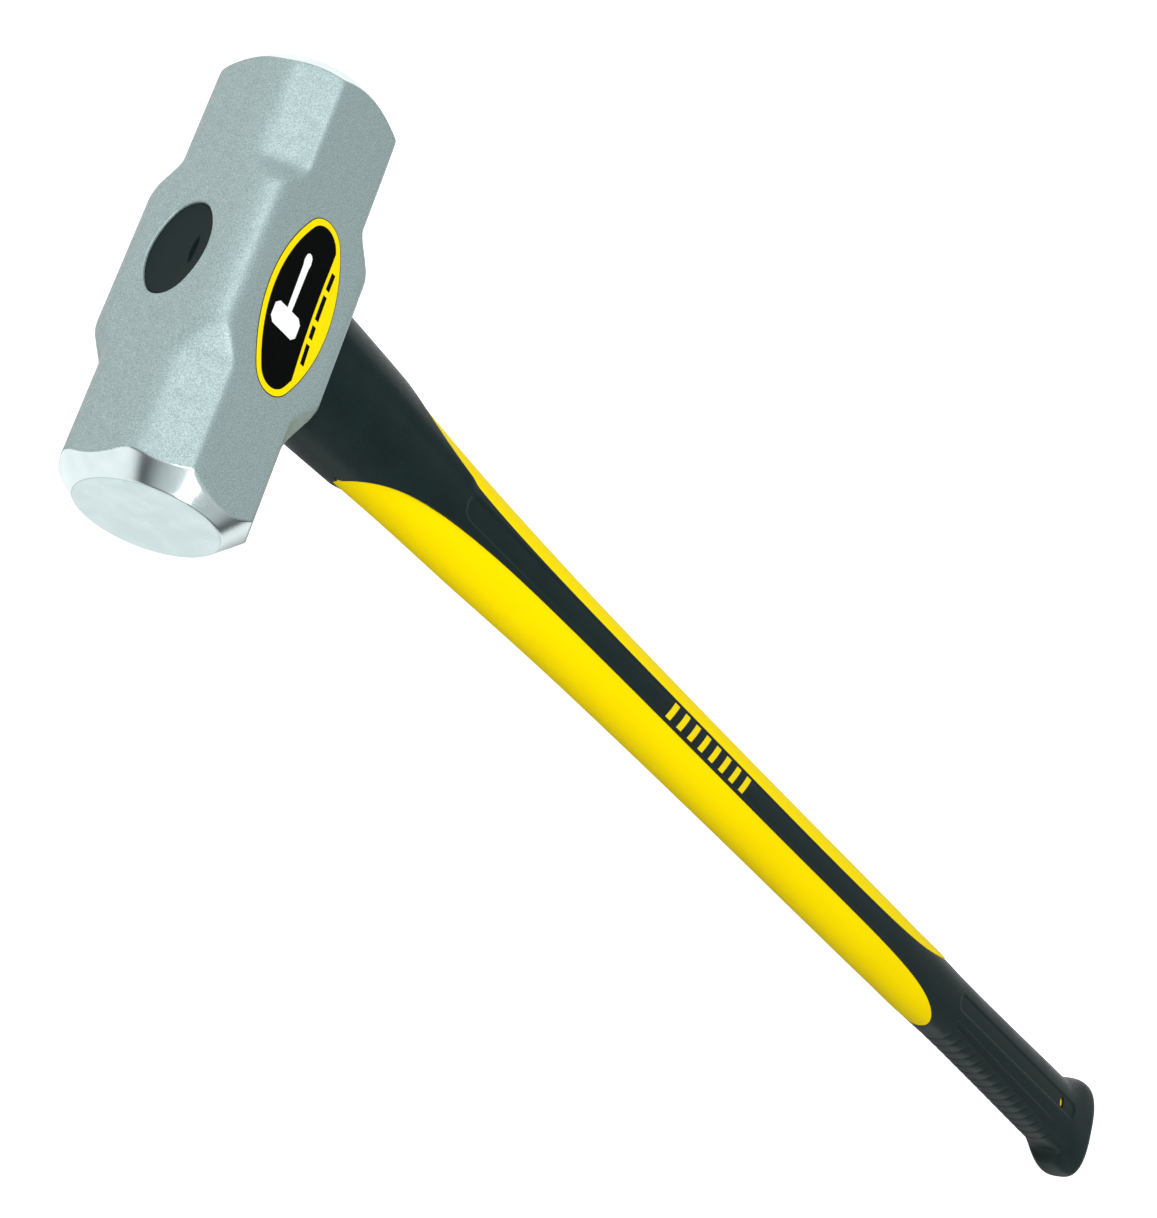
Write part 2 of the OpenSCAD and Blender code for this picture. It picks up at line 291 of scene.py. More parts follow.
def oval_points(a, b, r, count):
    """Outline of the four-arc oval with half length a along Y and half width b, as (across, y)."""
    e = a - r
    side_r = (b * b + e * e - r * r) / (2 * (b - r))
    turn = math.asin(e / (side_r - r))
    side_len = side_r * turn
    tip_len = r * (math.pi / 2 - turn)
    points = []
    for k in range(count):
        s = 4 * k / count
        quarter, u = int(s), s - int(s)
        if quarter % 2:
            u = 1 - u
        d = u * (side_len + tip_len)
        if d <= side_len:
            angle = d / side_r
            p = (b - side_r + side_r * math.cos(angle), side_r * math.sin(angle))
        else:
            angle = turn + (d - side_len) / r
            p = (r * math.cos(angle), e + r * math.sin(angle))
        points.append((p[0] if quarter in (0, 3) else -p[0], p[1] if quarter < 2 else -p[1]))
    return np.array(points)


# ---- Materials ---------------------------------------------------------------------------------


class Nodes:
    """Short calls for building the nodes of a material or of the world."""

    def __init__(self, owner, shader="Principled BSDF", place="Object"):
        self.owner = owner
        owner.use_nodes = True
        self.tree = owner.node_tree
        self.shader = self.tree.nodes[shader]
        self.place = self.add("ShaderNodeTexCoord").outputs[place]

    def add(self, kind, **settings):
        node = self.tree.nodes.new(kind)
        for key, value in settings.items():
            setattr(node, key, value)
        return node

    def link(self, source, target):
        self.tree.links.new(source, target)

    def feed(self, socket, value):
        if isinstance(value, bpy.types.NodeSocket):
            self.link(value, socket)
        else:
            socket.default_value = value

    def math(self, operation, a, b=0.0, c=0.0):
        node = self.add("ShaderNodeMath", operation=operation)
        for socket, value in zip(node.inputs, (a, b, c)):
            self.feed(socket, value)
        return node.outputs[0]

    def noise(self, scale, detail=2.0, roughness=0.5, place=None):
        node = self.add("ShaderNodeTexNoise")
        node.inputs["Scale"].default_value = scale
        node.inputs["Detail"].default_value = detail
        node.inputs["Roughness"].default_value = roughness
        self.link(place or self.place, node.inputs["Vector"])
        return node.outputs["Fac"]

    def stretch(self, scale):
        """The object's coordinates scaled along each axis."""
        node = self.add("ShaderNodeMapping")
        node.inputs["Scale"].default_value = scale
        self.link(self.place, node.inputs["Vector"])
        return node.outputs["Vector"]

    def ramp(self, value, low, high, to_low=0.0, to_high=1.0):
        node = self.add("ShaderNodeMapRange", interpolation_type="SMOOTHSTEP")
        self.feed(node.inputs["Value"], value)
        for key, number in (("From Min", low), ("From Max", high), ("To Min", to_low), ("To Max", to_high)):
            node.inputs[key].default_value = number
        return node.outputs["Result"]

    def mix(self, factor, a, b):
        node = self.add("ShaderNodeMix", data_type="RGBA")
        self.feed(node.inputs[0], factor)
        self.feed(node.inputs[6], a)
        self.feed(node.inputs[7], b)
        return node.outputs[2]

    def bump(self, height, distance, strength=1.0, normal=None):
        node = self.add("ShaderNodeBump")
        node.inputs["Strength"].default_value = strength
        node.inputs["Distance"].default_value = distance
        self.feed(node.inputs["Height"], height)
        if normal is not None:
            self.link(normal, node.inputs["Normal"])
        return node.outputs["Normal"]

    def surface(self, **sockets):
        for key, value in sockets.items():
            self.feed(self.shader.inputs[key.replace("_", " ")], value)
        return self.owner


def forged_head_material():
    """Speckled silver paint, with the turned ends bare and polished."""
    n = Nodes(bpy.data.materials.new("forged_steel"))
    axes = n.add("ShaderNodeSeparateXYZ")
    n.link(n.place, axes.inputs[0])
    x, y = axes.outputs["X"], axes.outputs["Y"]
    z = n.math("SUBTRACT", axes.outputs["Z"], CHEEK_Z * MM)
    radius = n.math("SQRT", n.math("ADD", n.math("MULTIPLY", x, x), n.math("MULTIPLY", z, z)))
    reach = n.math("ADD", radius, n.math("ABSOLUTE", y))
    cone = (FACE_R + HEAD_L / 2) * MM
    flat = n.ramp(n.math("ABSOLUTE", y), (HEAD_L / 2 - 0.3) * MM, (HEAD_L / 2 - 0.05) * MM)
    turned = n.math("MAXIMUM", n.ramp(reach, cone - 0.00010, cone - 0.00004), flat)
    speckle = n.noise(2100, 3, 0.7)
    mottle = n.noise(300, 2, 0.6)
    paint = n.mix(n.ramp(speckle, 0.3, 0.7), (0.23, 0.31, 0.31, 1), (0.475, 0.575, 0.575, 1))
    paint = n.mix(n.ramp(mottle, 0.35, 0.7, 0.0, 0.15), paint, (0.265, 0.34, 0.34, 1))
    worn = n.ramp(n.noise(120, 3), 0.3, 0.7)
    # Turned bevel steel; the flat faces take a darker copy of it, painted shade against the bright floor they
    # mirror, beside their rougher finish
    polish_and_face_shade = n.mix(flat, n.mix(worn, (0.64, 0.725, 0.73, 1), (0.70, 0.785, 0.79, 1)),
                   n.mix(worn, (0.53, 0.635, 0.64, 1), (0.59, 0.695, 0.70, 1)))
    rings = n.math("SINE", n.math("MULTIPLY", reach, 9000.0))
    lay = n.math("MULTIPLY", rings, n.noise(700, 2))
    grain = n.bump(speckle, 0.00012, 0.5)
    turning = n.bump(lay, 0.00001, 0.25)
    normal = n.add("ShaderNodeMix", data_type="VECTOR")
    n.feed(normal.inputs[0], turned)
    n.feed(normal.inputs[4], grain)
    n.feed(normal.inputs[5], turning)
    rough = n.add("ShaderNodeMix", data_type="FLOAT")
    n.feed(rough.inputs[0], turned)
    n.feed(rough.inputs[2], n.ramp(mottle, 0.3, 0.7, 0.42, 0.50))
    scuffs = n.ramp(n.noise(90, 3), 0.3, 0.7, 0.17, 0.23)
    n.feed(rough.inputs[3], n.math("ADD", scuffs, n.math("MULTIPLY", flat, 0.10)))
    metal = n.ramp(turned, 0.0, 1.0, 0.45, 1.0)
    return n.surface(
        Base_Color=n.mix(turned, paint, polish_and_face_shade), Metallic=metal, Roughness=rough.outputs[0],
        Normal=normal.outputs[1],
    )


def rubber_material():
    """Matt black moulded rubber with a fine texture."""
    n = Nodes(bpy.data.materials.new("black_rubber"))
    fine = n.noise(1100, 3, 0.65)
    broad = n.noise(60, 3, 0.5)
    pattern = n.math("ADD", n.math("MULTIPLY", fine, 0.65), n.math("MULTIPLY", broad, 0.35))
    colour = n.mix(n.ramp(pattern, 0.35, 0.65), (0.0006, 0.0072, 0.0070, 1), (0.0028, 0.0140, 0.0136, 1))
    rough = n.math("ADD", n.ramp(fine, 0.3, 0.7, 0.38, 0.50), n.ramp(broad, 0.3, 0.7, -0.03, 0.03))
    n.shader.inputs["Specular IOR Level"].default_value = 0.27
    return n.surface(Base_Color=colour, Roughness=rough, Normal=n.bump(fine, 0.00007, 0.5))


def yellow_material():
    """Glossy moulded yellow plastic with faint flow waves."""
    n = Nodes(bpy.data.materials.new("yellow_plastic"))
    flow = n.noise(30, 3, 0.5, n.stretch((0.3, 1, 1)))
    fine = n.noise(900, 2, 0.5)
    colour = n.mix(n.ramp(flow, 0.3, 0.7), (0.97, 0.72, 0.0, 1), (1.0, 0.755, 0.0, 1))
    blend = n.math("ADD", n.math("MULTIPLY", fine, 0.5), n.math("MULTIPLY", flow, 0.5))
    rough = n.ramp(blend, 0.3, 0.7, 0.36, 0.44)
    n.shader.inputs["Specular IOR Level"].default_value = 0.01
    normal = n.bump(fine, 0.00002, 0.3, n.bump(flow, 0.0004, 0.15))
    return n.surface(Base_Color=colour, Roughness=rough, Normal=normal)


def plain_material(name, low, high, rough_low, rough_high, scale, axis_scale=(1, 1, 1), shine=0.3):
    """A plain finish with a slight change of colour and roughness and a fine grain."""
    n = Nodes(bpy.data.materials.new(name))
    pattern = n.noise(scale, 3, 0.6, n.stretch(axis_scale))
    n.shader.inputs["Specular IOR Level"].default_value = shine
    return n.surface(
        Base_Color=n.mix(n.ramp(pattern, 0.3, 0.7), (*low, 1), (*high, 1)),
        Roughness=n.ramp(pattern, 0.3, 0.7, rough_low, rough_high),
        Normal=n.bump(pattern, 0.00002, 0.4),
    )


STEEL = forged_head_material()
RUBBER = rubber_material()
YELLOW = yellow_material()
RESIN = plain_material("resin", (0.42, 0.30, 0.12), (0.52, 0.38, 0.17), 0.2, 0.3, 80)
FIBRE = plain_material(
    "glass_fibre", (0.62, 0.60, 0.42), (0.74, 0.72, 0.55), 0.5, 0.65, 900, axis_scale=(0.03, 1, 1)
)
PRINT_YELLOW = plain_material(
    "label_yellow", (0.88, 0.66, 0.0), (0.93, 0.70, 0.0), 0.30, 0.36, 700, shine=0.08
)
PRINT_BLACK = plain_material(
    "label_black", (0.0008, 0.001, 0.001), (0.0014, 0.0018, 0.0018), 0.22, 0.28, 700, shine=0.06
)
CAP_RUBBER = plain_material(
    "cap_rubber", (0.0050, 0.0145, 0.0140), (0.0080, 0.0190, 0.0185), 0.40, 0.52, 900, shine=0.09
)
PRINT_WHITE = plain_material("label_white", (0.88, 0.88, 0.88), (0.95, 0.95, 0.95), 0.25, 0.34, 400)


# ---- Head ----------------------------------------------------------------------------------------


def soft_max(a, b, k):
    """The larger of a and b, rounded over a width of about k."""
    h = clamp01(0.5 + (a - b) / (2 * k))
    return b + (a - b) * h + k * h * (1 - h)


def corner_distance(y):
    """Distance from the head's axis to its 45 degree faces at y."""
    leg = MID_CORNER + (END_CORNER - MID_CORNER) * smooth((np.abs(y) - MID_HALF_L) / CORNER_RAMP)
    return (HEAD_H / 2 + HEAD_W / 2 - leg) / math.sqrt(2)


def head_field(x, y, z):
    """Signed distance to the head's surface, about 0 on it and below 0 inside."""
    near_middle = 1 - smooth((np.abs(y) - MID_HALF_L) / CORNER_RAMP)
    side, cheek = np.abs(x) - HEAD_H / 2, np.abs(z) - HEAD_W / 2
    flats = soft_max(side, cheek, EDGE_SOFT + (MID_ROUND - EDGE_SOFT) * near_middle * smooth(0.5 - x / 10))
    corner = (np.abs(x) + np.abs(z)) / math.sqrt(2) - corner_distance(y)
    # The 45 degree faces run softly into the top, and crisply into the cheeks and the foot
    top_side = smooth((side - cheek) / 12 + 0.5) * smooth(0.5 - x / 10)
    soft = EDGE_SOFT + (SIDE_SOFT - EDGE_SOFT) * top_side
    body = soft_max(flats, corner, soft)
    r = np.hypot(x, z)
    cone = (r + np.abs(y) - FACE_R - HEAD_L / 2) / math.sqrt(2)
    face = np.abs(y) - HEAD_L / 2
    ends = soft_max(cone, face, FACE_SOFT)
    return soft_max(body, ends, 0.25)


def make_head():
    """The head's outside on rays from a capsule's axis, then the eye is cut."""
    centre_y = HEAD_L / 2 - FACE_R
    # Angles round the head, closer together at the octagon's edges
    marks = np.radians([0, 24.8, 61.4, 90])
    cells = [14, 18, 14]
    quarter = []
    for k in range(3):
        u = np.arange(cells[k]) / cells[k]
        quarter.extend(marks[k] + (marks[k + 1] - marks[k]) * (u - 0.6 * np.sin(2 * np.pi * u) / (2 * np.pi)))
    quarter = np.append(quarter, np.pi / 2)
    turns = np.concatenate([quarter, np.pi - quarter, np.pi + quarter, 2 * np.pi - quarter])
    turns = np.unique(np.round(turns, 6) % round(2 * np.pi, 6))
    # Rows: along the cylinder part, then tilting to each end's pole
    along_y = np.linspace(-centre_y, centre_y, 121)
    tilt = np.radians(np.concatenate([np.arange(1, 66, 0.75), [66, 70, 75, 80, 85]]))
    rows = [(-centre_y, -t) for t in tilt[::-1]] + [(y, 0.0) for y in along_y] + [(centre_y, t) for t in tilt]
    origin_y = np.array([r[0] for r in rows])[:, None]
    lean = np.array([r[1] for r in rows])[:, None]
    direction = (np.cos(lean) * np.cos(turns), np.sin(lean) + 0 * turns, np.cos(lean) * np.sin(turns))
    low = np.full(direction[0].shape, 15.0)
    high = np.full(direction[0].shape, 60.0)
    for _ in range(40):
        mid = (low + high) / 2
        inside = head_field(mid * direction[0], origin_y + mid * direction[1], mid * direction[2]) < 0
        low = np.where(inside, mid, low)
        high = np.where(inside, high, mid)
    points = np.stack([mid * direction[0], origin_y + mid * direction[1], mid * direction[2]], axis=-1)
    count = len(turns)
    verts = points.reshape(-1, 3).tolist()
    faces = grid_faces(len(rows), count)
    for y, start in ((-HEAD_L / 2, 0), (HEAD_L / 2, (len(rows) - 1) * count)):
        verts.append([0, y, 0])
        pole = len(verts) - 1
        faces.extend((start + j, start + (j + 1) % count, pole) for j in range(count))
    head = outward(make_object("hammer_head", verts, faces))
    return cut(head, make_eye_cutter())


def make_eye_cutter():
    """The eye's prism, flared at both mouths so that its rims come out rounded."""
    flare = 0.7
    outline = oval_points(EYE_HALF_L, EYE_HALF_W, EYE_TIP_R, 128)
    steps = np.linspace(0.04, 1, 7)
    profile = [(-HEAD_H / 2 - 2, flare)]
    profile += [(-HEAD_H / 2 + flare * d, fillet(flare * d, flare)) for d in steps]
    profile += [(-x, f) for x, f in profile[::-1]]
    normals = np.roll(outline, -1, 0) - np.roll(outline, 1, 0)
    normals = np.stack([normals[:, 1], -normals[:, 0]], 1)
    normals /= np.linalg.norm(normals, axis=1)[:, None]
    if (normals * outline).sum() < 0:
        normals = -normals
    verts = []
    for x, f in profile:
        ring = outline + normals * f
        verts.extend([x, p[1], p[0]] for p in ring)
    count = len(outline)
    faces = grid_faces(len(profile), count)
    faces.append(tuple(range(count)))
    faces.append(tuple(range((len(profile) - 1) * count, len(profile) * count)))
    return outward(make_object("eye_cutter", verts, faces))


def make_eye_cap():
    """Slightly dished oval cap with a soft rim and a lens-shaped slot."""
    outline = oval_points(EYE_HALF_L, EYE_HALF_W, EYE_TIP_R, 128)
    shares = [0.0, 0.2, 0.4, 0.55, 0.7, 0.8, 0.87, 0.92, 0.95, 0.97, 0.985, 0.995, 1.0]
    rim = 0.55
    verts = []
    for share in shares[1:]:
        inset = (1 - share) * EYE_HALF_W
        drop = fillet(inset, rim) + 0.35 * (1 - share**4)
        verts.extend([CAP_TOP + drop, p[1] * share, p[0] * share] for p in outline)
    count = len(outline)
    top = len(verts)
    verts.append([CAP_TOP + 0.35, 0, 0])
    verts.extend([CAP_FOOT, p[1], p[0]] for p in outline)
    rows = len(shares) - 1
    faces = grid_faces(rows, count)
    faces += [(j, (j + 1) % count, top) for j in range(count)]
    last = (rows - 1) * count
    for j in range(count):
        k = (j + 1) % count
        faces.append((last + j, last + k, top + 1 + k, top + 1 + j))
    faces.append(tuple(range(top + 1, top + 1 + count)))
    cap = outward(make_object("eye_cap_moulded", verts, faces))
    return cut(cap, make_slot_cutter())


def make_slot_cutter():
    half_l, half_w, depth = 5.8, 1.4, 1.3
    place = (-0.8, 7.0)
    u = np.linspace(0, 2 * np.pi, 49)[:-1]
    y = half_l * np.cos(u)
    z = half_w * np.sign(np.sin(u)) * np.abs(np.sin(u)) ** 1.6
    verts = []
    for x, grow in ((CAP_TOP - 1, 1.12), (CAP_TOP + 0.45, 1.0), (CAP_TOP + depth, 0.8)):
        verts.extend([x, place[0] + grow * a, place[1] + grow * b] for a, b in zip(y, z))
    count = len(y)
    faces = grid_faces(3, count) + [tuple(range(count)), tuple(range(2 * count, 3 * count))]
    return outward(make_object("slot_cutter", verts, faces))


# ---- Handle ------------------------------------------------------------------------------------

RUBBER_CELLS = 36
EDGE_STEPS = [1.0, 0.7, 0.45, 0.25, 0.1, 0.0]
WINDOW_CELLS = {"outer": 4, "inner": 4, "sunk": 14}
WINDOW_EDGE_STEPS = [0.0, 0.12, 0.3, 0.55]
SUNK_CELLS = 6
EDGE_R = 0.5
RUBBER_LINES = RUBBER_CELLS + len(EDGE_STEPS)


def edge_angle(x, a):
    """Superellipse parameter of the rubber's edge at x for half depth a."""
    edge = np.minimum(rubber_edge(x), TIP_SHARE * a)
    return np.arcsin((edge / a) ** (power_at(x) / 2))


def relief_lines(x, front):
    """Distances from the cheek's middle line at which the grip's relief has its edges."""
    mid, half = GRIP_PANEL[2:]
    wall = half - PANEL_WALL / 2
    if not front:
        return [mid + wall]
    u = float(clamp01((x - GROOVE_START) / (GROOVE_END - GROOVE_START)))
    (back, back_slant), (front_edge, front_slant) = GROOVE_BACK, GROOVE_FRONT
    groove_back = back + GROOVE_BACK_WALL / 2 + back_slant * u
    groove_front = front_edge - GROOVE_FRONT_LINE + front_slant * u
    return [wall - mid, groove_back, groove_front]


def rubber_lines(x, a, b, start, front):
    """The section's parameter from 0 to start in RUBBER_CELLS steps, finer where the grip has relief."""
    power = power_at(x)
    t = np.linspace(0, start, 240)
    y, z = a * np.sin(t) ** (2 / power), b * np.cos(t) ** (2 / power)
    middle = (y[1:] + y[:-1]) / 2
    weight = 1 + 0 * middle
    for line in relief_lines(x, front):
        weight += 4 * smooth((x - WINDOW_END) / 12) * np.exp(-(((middle - line) / 1.1) ** 2))
    if x < WINDOW_END:
        run = t
    else:
        run = np.concatenate([[0], np.cumsum(np.hypot(np.diff(y), np.diff(z)) * weight)])
    return np.interp(run[-1] * np.arange(RUBBER_CELLS) / RUBBER_CELLS, run, t)


def quarter_lines(x, a, b, kind, front):
    """The section's parameter at one quarter's points: the rubber, then the window."""
    turn = edge_angle(x, a)
    speed = math.hypot(a, b) / math.sqrt(2)
    if kind == "outer":
        steps = np.array(EDGE_STEPS)
        rubber = np.concatenate([rubber_lines(x, a, b, turn - steps[0] / speed, front), turn - steps / speed])
    else:
        rubber = turn * np.linspace(0, 1, SUNK_CELLS + 1)
    left = math.pi / 2 - turn
    near = np.array(WINDOW_EDGE_STEPS[1:]) / speed
    near = near * min(1.0, 0.4 * left / near[-1])
    cells = WINDOW_CELLS[kind]
    far = turn + near[-1] + (left - near[-1]) * np.arange(1, cells + 1) / cells
    window = np.concatenate([turn + near, far])
    return np.concatenate([rubber, window])


def ring_points(x, kind, rubber_drop, gap_drop):
    """One closed ring at x. rubber_drop and gap_drop say how far the points up to the rubber's edge
    and past it sink along the surface normal."""
    b, power = float(thickness(x)), float(power_at(x))
    rubber_count = RUBBER_LINES if kind == "outer" else SUNK_CELLS + 1
    quarters = []
    for front in (False, True):
        a = float(front_depth(x) if front else back_depth(x))
        t = quarter_lines(x, a, b, kind, front)
        share = np.sin(t) ** (2 / power)
        edge_lobe, cheek_lobe = (float(v) for v in lobe_heights(x, front))
        y = a * share + cheek_lobe * share**LOBE_POWER + (edge_lobe - cheek_lobe) * share**EDGE_POWER
        z = b * np.cos(t).clip(0) ** (2 / power)
        ny = share ** (power - 1) / a
        nz = (z / b) ** (power - 1) / b
        length = np.hypot(ny, nz)
        ny, nz = ny / length, nz / length
        sink = np.zeros_like(y)
        signed = -y if front else y
        sink[:rubber_count] = rubber_drop(x, signed[:rubber_count], z[:rubber_count])
        sink[rubber_count:] = gap_drop(x, signed[rubber_count:], z[rubber_count:])
        y, z = y - sink * ny, z - sink * nz
        quarters.append((y, z))
    (yb, zb), (yf, zf) = quarters
    n = len(yb)
    ring = [(x, yb[i], zb[i]) for i in range(n)]
    ring += [(x, yb[i], -zb[i]) for i in range(n - 2, -1, -1)]
    ring += [(x, -yf[i], -zf[i]) for i in range(1, n)]
    ring += [(x, -yf[i], zf[i]) for i in range(n - 2, 0, -1)]
    return np.array(ring)


def racetrack_depth(x, y, track):
    """How deep a round-ended recess is at x, y."""
    x0, x1, mid, half = track
    cx = np.clip(x, x0 + half, x1 - half)
    d = half - np.hypot(x - cx, y - mid)
    return PANEL_DEPTH * smooth(d / PANEL_WALL)


def strip_panel_depth(x, y):
    """The strip's recess is deepest near the neck and runs out before the grip."""
    share = (1 - 0.65 * smooth((x - 145) / 80)) * (1 - smooth((x - 540) / 50))
    return racetrack_depth(x, y, STRIP_PANEL) * share


def rib_drop(x, y, z):
    """Valleys between the ribs, forward of the groove."""
    if not RIB_START - 2 <= x <= RIB_END + 2:
        return 0 * y
    u = (x - RIB_START) / RIB_PITCH
    wave = (0.5 - 0.5 * math.cos(2 * math.pi * u)) ** 4 if RIB_START <= x <= RIB_END else 0.0
    line = -(12.6 + 4.0 * (x - RIB_START) / (RIB_END - RIB_START))
    return RIB_H * wave * smooth((line - y) / 2.0)


def groove_drop(x, y, z):
    """The long groove beside the ribs: its middle slants outward towards the knob."""
    u = clamp01((x - GROOVE_START) / (GROOVE_END - GROOVE_START))
    back, front = (-(start + slant * u) for start, slant in (GROOVE_BACK, GROOVE_FRONT))
    fade = smooth((x - GROOVE_START + 4) / 8) * (1 - smooth((x - GROOVE_END + 6) / 12))
    back_wall = smooth((back - y) / GROOVE_BACK_WALL)
    front_wall = 1 - smooth((front + GROOVE_FRONT_WALL - y) / GROOVE_FRONT_WALL)
    return GROOVE_DEPTH * fade * back_wall * front_wall * (z >= 0)


def collar_rise(x, y):
    """How far the neck's rubber stands proud towards the back, up to a short step."""
    return COLLAR_H * smooth((y - 4) / 8) * (1 - smooth((x - COLLAR_END) / 8))


def outer_drop(x, y, z):
    edge = min(float(rubber_edge(x)), TIP_SHARE * float(front_depth(x)))
    in_window = WINDOW_START <= x <= WINDOW_END
    sink = rib_drop(x, y, z)
    sink = np.maximum(sink, groove_drop(x, y, z))
    sink = sink + strip_panel_depth(x, y) + racetrack_depth(x, y, GRIP_PANEL)
    if in_window:
        open_share = smooth((x - WINDOW_START) / 6)
        sink = sink + fillet(np.maximum(0, edge - np.abs(y)), EDGE_R) * open_share
    return sink - collar_rise(x, y)


def grip_drop(x, y, z):
    return rib_drop(x, y, z) - collar_rise(x, y)


def window_drop(x, y, z):
    """The yellow's surface: a little below the rubber in front and at the neck, rounded at its edge."""
    edge = float(rubber_edge(x))
    front = 0.1 + 0.4 * (1 - smooth((x - 590) / 40)) + 0.5 * (1 - smooth((x - 90) / 90))
    front = front + 1.2 * (1 - smooth((x - WINDOW_START) / 3))
    back = 0.25 - 0.7 * smooth((x - 600) / 35)
    return fillet(np.maximum(0, np.abs(y) - edge) * 1.3, EDGE_R) + np.where(y < 0, front, back)


def sunk(x, y, z):
    return np.full_like(y, RUBBER_T)


def handle_stations():
    """Distances along the handle where the fine meshes have a ring."""
    neck = np.arange(HEAD_HIGH.x, WINDOW_START - 0.5, 2.5)
    tip = WINDOW_START + 18 * (np.arange(0, 15) / 14.0) ** 2
    window = np.concatenate([np.arange(98, 130, 2.5), np.arange(130, 150, 0.8), np.arange(150, 560, 6.0)])
    rise = np.concatenate([np.arange(560, 625, 2.0), np.arange(625, WINDOW_END - 4, 1.5)])
    grip_tip = WINDOW_END - 4 * (np.arange(0, 9) / 8.0)[::-1] ** 2
    rib_steps = RIB_PITCH * np.array([0, 0.16, 0.28, 0.36, 0.43, 0.5, 0.57, 0.64, 0.72, 0.84])
    ribs = (RIB_START + RIB_PITCH * np.arange(RIB_COUNT)[:, None] + rib_steps).ravel()
    grip = np.concatenate([np.arange(WINDOW_END + 0.8, RIB_START - 0.3, 0.8), ribs, [RIB_END, RIB_END + 1.2]])
    waist = np.arange(grip[-1] + 0.8, FRONT_LOBE_START - 0.6, 1.2)
    rise_steps = 1 - np.cos(np.radians(np.linspace(0, 90, 17)))
    lobe = np.concatenate([[FRONT_LOBE_START - 0.3], FRONT_LOBE_START + FRONT_LOBE_L * rise_steps])
    lobe_top = FRONT_LOBE_START + FRONT_LOBE_L
    end = lobe_top + (KNOB_END - lobe_top) * np.sin(np.radians(np.linspace(3, 90, 26)))
    return neck, np.concatenate([tip, window, rise, grip_tip]), np.concatenate([grip, waist, lobe, end])


def ring_size(kind):
    rubber = RUBBER_LINES if kind == "outer" else SUNK_CELLS + 1
    quarter = rubber + len(WINDOW_EDGE_STEPS) - 1 + WINDOW_CELLS[kind]
    return quarter, 4 * (quarter - 1), rubber


def window_columns(kind):
    """Columns of a ring whose cells lie in a window."""
    quarter, size, rubber = ring_size(kind)
    back = set(range(rubber - 1, 2 * (quarter - 1) - rubber + 1))
    front = set(range(2 * (quarter - 1) + rubber - 1, size - rubber + 1))
    return back | front


def make_overmould():
    neck, window, grip = handle_stations()
    stations = np.concatenate([neck, window, grip])
    first, last = len(neck), len(neck) + len(window) - 1
    _, n_out, _ = ring_size("outer")
    _, n_in, _ = ring_size("inner")
    outer = np.concatenate([ring_points(x, "outer", outer_drop, grip_drop) for x in stations])
    inner_neck, inner_grip = neck[::4], grip[grip < KNOB_START][::12]
    inner_stations = np.concatenate([inner_neck, window, inner_grip, [KNOB_START]])
    first_in = len(inner_neck)
    last_in = first_in + len(window) - 1
    inner = [ring_points(x, "inner", sunk, sunk) for x in inner_stations]
    inner.append(inner[-1] * [0, 1, 1] + [JACKET_END, 0, 0])
    inner = np.concatenate(inner)
    rows_in = len(inner_stations) + 1
    base = len(outer)
    verts = np.concatenate([outer, inner])
    open_out, open_in = window_columns("outer"), window_columns("inner")
    faces = []
    for i in range(len(stations) - 1):
        in_window = first <= i < last
        for j in range(n_out):
            if in_window and j in open_out:
                continue
            k = (j + 1) % n_out
            faces.append((i * n_out + j, i * n_out + k, (i + 1) * n_out + k, (i + 1) * n_out + j))
    for i in range(rows_in - 1):
        in_window = first_in <= i < last_in
        for j in range(n_in):
            if in_window and j in open_in:
                continue
            k = (j + 1) % n_in
            row = base + i * n_in
            faces.append((row + j, row + n_in + j, row + n_in + k, row + k))
    # Side walls of the windows, and the walls at their ends
    for i in range(first, last):
        row = base + (i - first + first_in) * n_in
        for jo, ji in edge_columns("outer", "inner"):
            faces.append((i * n_out + jo, (i + 1) * n_out + jo, row + n_in + ji, row + ji))
    for i, row in ((first, base + first_in * n_in), (last, base + last_in * n_in)):
        for jo, ji in matching_window_columns("outer", "inner"):
            ko, ki = (jo + 1) % n_out, (ji + 1) % n_in
            faces.append((i * n_out + jo, i * n_out + ko, row + ki, row + ji))
    # The neck's end against the head, the bottom of the jacket's socket and the flat of the knob
    faces += annulus("outer", "inner", 0, base)
    start = base + (rows_in - 1) * n_in
    faces.append(tuple(range(start, start + n_in)))
    start = (len(stations) - 1) * n_out
    faces.append(tuple(range(start, start + n_out)))
    made = outward(make_object("rubber_overmould", verts, faces))
    for side in (1, -1):
        cut(made, make_hole_cutter(side))
    return made


def edge_columns(kind_a, kind_b):
    """Pairs of columns that lie on the rubber's edge, in rings of two kinds."""
    columns = []
    for kind in (kind_a, kind_b):
        quarter, size, rubber = ring_size(kind)
        half = 2 * (quarter - 1)
        columns.append([rubber - 1, half - rubber + 1, half + rubber - 1, size - rubber + 1])
    return list(zip(*columns))


def matching_window_columns(kind_a, kind_b):
    return list(zip(sorted(window_columns(kind_a)), sorted(window_columns(kind_b))))


def annulus(kind_a, kind_b, base_a, base_b):
    """Faces between two rings of different kinds at the same place."""
    qa, na, ra = ring_size(kind_a)
    _, nb, rb = ring_size(kind_b)
    faces = []
    anchors_a = [round(k * (ra - 1) / (rb - 1)) for k in range(rb)] + list(range(ra, qa))
    full_a = anchors_a + [2 * (qa - 1) - c for c in anchors_a[::-1][1:]]
    full_a += [2 * (qa - 1) + c for c in anchors_a[1:]]
    full_a += [4 * (qa - 1) - c for c in anchors_a[::-1][1:]]
    for j in range(nb):
        run = [base_a + c % na for c in range(full_a[j], full_a[j + 1] + 1)]
        faces.append(tuple([base_b + j] + run + [base_b + (j + 1) % nb]))
    return faces


